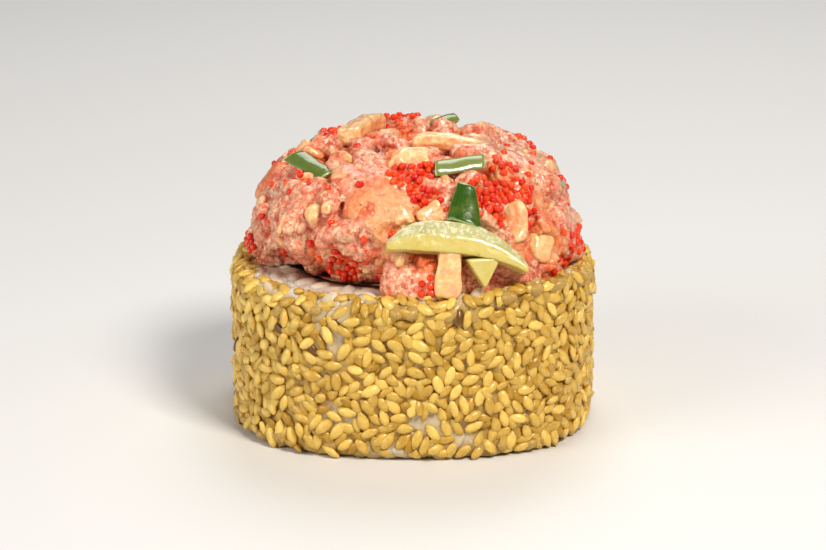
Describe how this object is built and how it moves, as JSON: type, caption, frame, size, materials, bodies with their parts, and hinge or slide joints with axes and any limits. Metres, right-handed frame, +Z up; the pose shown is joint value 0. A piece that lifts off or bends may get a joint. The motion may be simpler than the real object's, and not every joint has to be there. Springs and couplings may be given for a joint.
{
  "type": "uramaki roll",
  "caption": "Slice of inside-out sushi roll: sesame-coated rice ring round seaweed and filling, on its cut face, under a heap of chopped salmon salad.",
  "frame": {"origin": "middle of the cut face that the slice stands on", "axes": "+Z up along the roll's axis; the side with the cucumber slice faces -Y; +X to the right seen from there"},
  "size_m": [0.0494, 0.0496, 0.04],
  "materials": {
    "rice": "satin",
    "sesame": "satin",
    "nori": "satin",
    "roe": "gloss",
    "filling": "satin",
    "salad": "gloss",
    "cucumber": "gloss",
    "crab": "satin",
    "scallion": "gloss"
  },
  "bodies": {
    "root": {"crab_bit_1": "crab", "crab_bit_2": "crab", "crab_bit_3": "crab", "crab_bit_4": "crab", "crab_bit_5": "crab", "crab_bit_6": "crab", "crab_bit_7": "crab", "crab_bit_8": "crab", "crab_bit_9": "crab", "crab_strip_1": "crab", "crab_strip_2": "crab", "crab_strip_3": "crab", "crab_strip_4": "crab", "cucumber_slice": "cucumber", "cucumber_wedge": "cucumber", "filling": "filling", "nori": "nori", "salmon_salad": "salad", "scallion_1": "scallion", "scallion_2": "scallion", "scallion_3": "scallion", "scallion_4": "scallion", "scallion_5": "scallion", "scallion_6": "scallion", "scallion_7": "scallion", "sesame_rice": "rice"}
  },
  "joints": []
}
